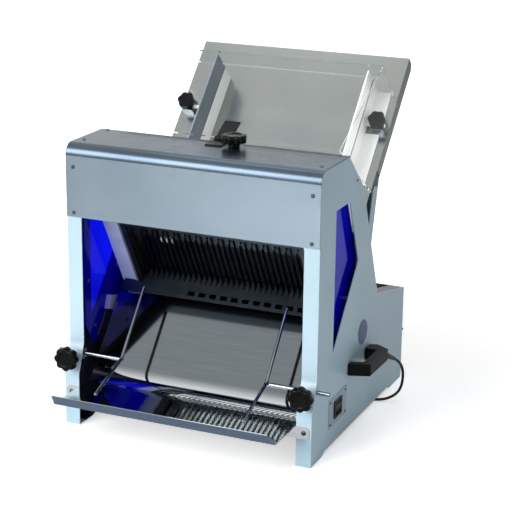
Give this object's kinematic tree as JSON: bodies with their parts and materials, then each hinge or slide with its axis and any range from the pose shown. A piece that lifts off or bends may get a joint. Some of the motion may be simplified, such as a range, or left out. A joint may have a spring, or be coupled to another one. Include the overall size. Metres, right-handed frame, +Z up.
{
  "type": "bread slicer",
  "caption": "Table-top bread slicer: sloped loaf chute under a clear guard, hooded blade frames, polished outlet tray with wire guides, lobed knobs and a crumb drawer.",
  "frame": {"origin": "bottom centre of the box round the machine without its cord", "axes": "X across the machine to its right, Y from the outlet to the back, Z up"},
  "size_m": [0.6035, 0.9122, 0.7012],
  "materials": {
    "body_paint": "semi gloss powder coat",
    "hood_steel": "brushed along the width",
    "chute_steel": "fine satin",
    "mirror_steel": "mirror polished",
    "guide_white": "white enamel",
    "dark_steel": "dark navy coat",
    "blade_steel": "ground and toothed",
    "frame_steel": "machined",
    "plated_steel": "bright plated",
    "blue_acrylic": "clear blue sheet",
    "clear_acrylic": "clear sheet",
    "black_plastic": "gloss moulding",
    "matte_black": "fine texture",
    "cord_rubber": "smooth jacket",
    "lilac_plastic": "satin",
    "cap_plastic": "satin",
    "cast_gray": "painted casting"
  },
  "bodies": {
    "frame": {"access_cap": "cap_plastic", "back_cover": "body_paint", "base_plate": "dark_steel", "clamp_blocks": "plated_steel", "comb_plate": "chute_steel", "cord_coil": "cord_rubber", "cord_tie": "cord_rubber", "cover_screws": "plated_steel", "cross_bars": "dark_steel", "drawer_guides": "chute_steel", "drive_belt": "cord_rubber", "feed_chute": "chute_steel", "front_panel": "hood_steel", "guard_hinge_fixed_leaf": "black_plastic", "guard_hinge_pin": "plated_steel", "infeed_plate": "chute_steel", "interlock_box": "lilac_plastic", "left_side_panel": "body_paint", "mains_plug": "black_plastic", "motor": "cast_gray", "motor_mount": "dark_steel", "outlet_tray": "mirror_steel", "power_cord": "cord_rubber", "power_inlet": "matte_black", "power_plug": "black_plastic", "rear_box_cover": "dark_steel", "right_side_panel": "body_paint", "shaft_bearings": "cast_gray", "slide_rails": "guide_white", "strain_relief": "cord_rubber", "switch_bezel": "matte_black", "switch_plate": "frame_steel", "top_cover": "hood_steel", "window_panes": "blue_acrylic", "window_screws": "plated_steel"},
    "front_frame": {"front_blade_frame": "frame_steel", "front_blade_clips": "frame_steel", "front_blades": "blade_steel", "front_connecting_rod": "frame_steel"},
    "rear_frame": {"rear_blade_frame": "frame_steel", "rear_blade_clips": "frame_steel", "rear_blades": "blade_steel", "rear_connecting_rod": "frame_steel"},
    "crank": {"crank_shaft": "frame_steel", "crank_discs": "frame_steel", "driven_pulley": "cast_gray"},
    "motor_rotor": {"motor_pulley": "cast_gray"},
    "right_loaf_side": {"right_loaf_guide": "guide_white"},
    "left_loaf_side": {"left_loaf_guide": "guide_white"},
    "right_chute_grip": {"right_chute_knob": "black_plastic"},
    "left_chute_grip": {"left_chute_knob": "black_plastic"},
    "guard": {"clear_guard": "clear_acrylic", "guard_hinge_moving_leaf": "black_plastic"},
    "lock_grip": {"guard_lock_knob": "black_plastic"},
    "right_wire": {"right_outlet_guide": "plated_steel"},
    "left_wire": {"left_outlet_guide": "plated_steel"},
    "right_front_grip": {"right_front_knob": "black_plastic"},
    "left_front_grip": {"left_front_knob": "black_plastic"},
    "rocker": {"rocker_switch": "black_plastic"},
    "drawer": {"crumb_drawer": "chute_steel"}
  },
  "joints": [
    {"name": "front_frame_slide", "type": "slide", "parent": "frame", "child": "front_frame", "axis": [0, 0.5, -0.866], "range_m": [-0.018, 0.018]},
    {"name": "rear_frame_slide", "type": "slide", "parent": "frame", "child": "rear_frame", "axis": [0, 0.5, -0.866], "range_m": [-0.018, 0.018]},
    {"name": "crank_turn", "type": "hinge", "parent": "frame", "child": "crank", "pos_m": [0, 0.06857, 0.07519], "axis": [1, 0, 0], "continuous": true},
    {"name": "motor_turn", "type": "hinge", "parent": "frame", "child": "motor_rotor", "pos_m": [0.06, 0.18957, 0.095], "axis": [1, 0, 0], "continuous": true},
    {"name": "right_loaf_slide", "type": "slide", "parent": "frame", "child": "right_loaf_side", "axis": [1, 0, 0], "range_m": [-0.016, 0.006]},
    {"name": "left_loaf_slide", "type": "slide", "parent": "frame", "child": "left_loaf_side", "axis": [1, 0, 0], "range_m": [-0.008, 0.016]},
    {"name": "right_chute_knob_turn", "type": "hinge", "parent": "frame", "child": "right_chute_grip", "pos_m": [0.216, 0.22501, 0.56058], "axis": [0, -0.7266, 0.6871], "range_deg": [-180, 180]},
    {"name": "left_chute_knob_turn", "type": "hinge", "parent": "frame", "child": "left_chute_grip", "pos_m": [-0.216, 0.22501, 0.56058], "axis": [0, -0.7266, 0.6871], "range_deg": [-180, 180]},
    {"name": "guard_lift", "type": "hinge", "parent": "frame", "child": "guard", "pos_m": [0, -0.07843, 0.577], "axis": [1, 0, 0], "range_deg": [0, 80]},
    {"name": "lock_knob_turn", "type": "hinge", "parent": "frame", "child": "lock_grip", "pos_m": [0.04, -0.11443, 0.572], "axis": [0, 0, 1], "range_deg": [-180, 180]},
    {"name": "right_wire_slide", "type": "slide", "parent": "frame", "child": "right_wire", "axis": [1, 0, 0], "range_m": [-0.028, 0.06]},
    {"name": "left_wire_slide", "type": "slide", "parent": "frame", "child": "left_wire", "axis": [1, 0, 0], "range_m": [-0.07, 0.028]},
    {"name": "right_front_knob_turn", "type": "hinge", "parent": "frame", "child": "right_front_grip", "pos_m": [0.25, -0.25043, 0.145], "axis": [0, 1, 0], "range_deg": [-180, 180]},
    {"name": "left_front_knob_turn", "type": "hinge", "parent": "frame", "child": "left_front_grip", "pos_m": [-0.25, -0.25043, 0.145], "axis": [0, 1, 0], "range_deg": [-180, 180]},
    {"name": "rocker_rock", "type": "hinge", "parent": "frame", "child": "rocker", "pos_m": [0.258, -0.11443, 0.075], "axis": [0, 1, 0], "range_deg": [-9, 9]},
    {"name": "crumb_drawer_slide", "type": "slide", "parent": "frame", "child": "drawer", "axis": [0, -1, 0], "range_m": [0, 0.1]}
  ],
  "couplings": [
    {"joint": "rear_frame_slide", "follows": "front_frame_slide", "ratio": -1},
    {"joint": "motor_turn", "follows": "crank_turn", "ratio": 2.2778}
  ]
}
